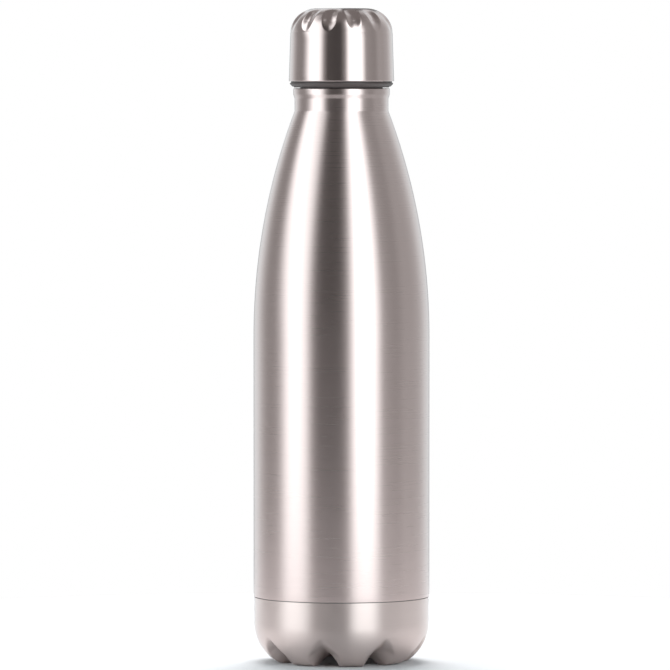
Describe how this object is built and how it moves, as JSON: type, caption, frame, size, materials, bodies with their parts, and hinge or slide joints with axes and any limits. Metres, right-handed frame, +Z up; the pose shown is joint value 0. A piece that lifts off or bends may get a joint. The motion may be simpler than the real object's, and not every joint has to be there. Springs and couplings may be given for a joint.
{
  "type": "insulated water bottle",
  "caption": "Double-walled steel vacuum bottle with an arched shoulder, a foot-lobed base cup and a fluted steel cap on a screw-in stopper.",
  "frame": {"origin": "on the bottle's axis, in the plane that its feet stand on", "axes": "+Z up along the bottle's axis, towards the cap; one of the feet is centred on +X"},
  "size_m": [0.07, 0.07, 0.26],
  "materials": {
    "brushed_steel": "fine brushed stainless steel",
    "polished_steel": "electropolished stainless steel",
    "mill_steel": "mill-finish stainless steel",
    "copper_foil": "thin bright copper foil",
    "solder_glass": "dark fused solder glass",
    "getter_alloy": "pressed metal powder",
    "black_plastic": "moulded black polypropylene",
    "black_silicone": "matt black silicone",
    "white_foam": "rigid insulating foam"
  },
  "bodies": {
    "bottle": {"outer_shell": "brushed_steel", "base_cup": "brushed_steel", "vacuum_end_plate": "mill_steel", "glass_seal_bead": "solder_glass", "inner_flask": "polished_steel", "inner_flask_base": "polished_steel", "copper_foil_wrap": "copper_foil", "getter_clip": "mill_steel", "getter_pellet": "getter_alloy"},
    "seal": {"seal_ring": "black_silicone"},
    "cap": {"cap_shell": "brushed_steel", "stopper_core": "black_plastic", "stopper_foam": "white_foam", "stopper_end_disc": "black_plastic"}
  },
  "joints": [
    {"name": "cap_rise", "type": "slide", "parent": "bottle", "child": "seal", "axis": [0, 0, 1], "range_m": [0, 0.02251]},
    {"name": "cap_turn", "type": "hinge", "parent": "seal", "child": "cap", "pos_m": [0, 0, 0.2305], "axis": [0, 0, 1], "range_deg": [0, 1800]}
  ],
  "couplings": [
    {"joint": "cap_rise", "follows": "cap_turn", "m_per_rad": 0.0007162}
  ]
}
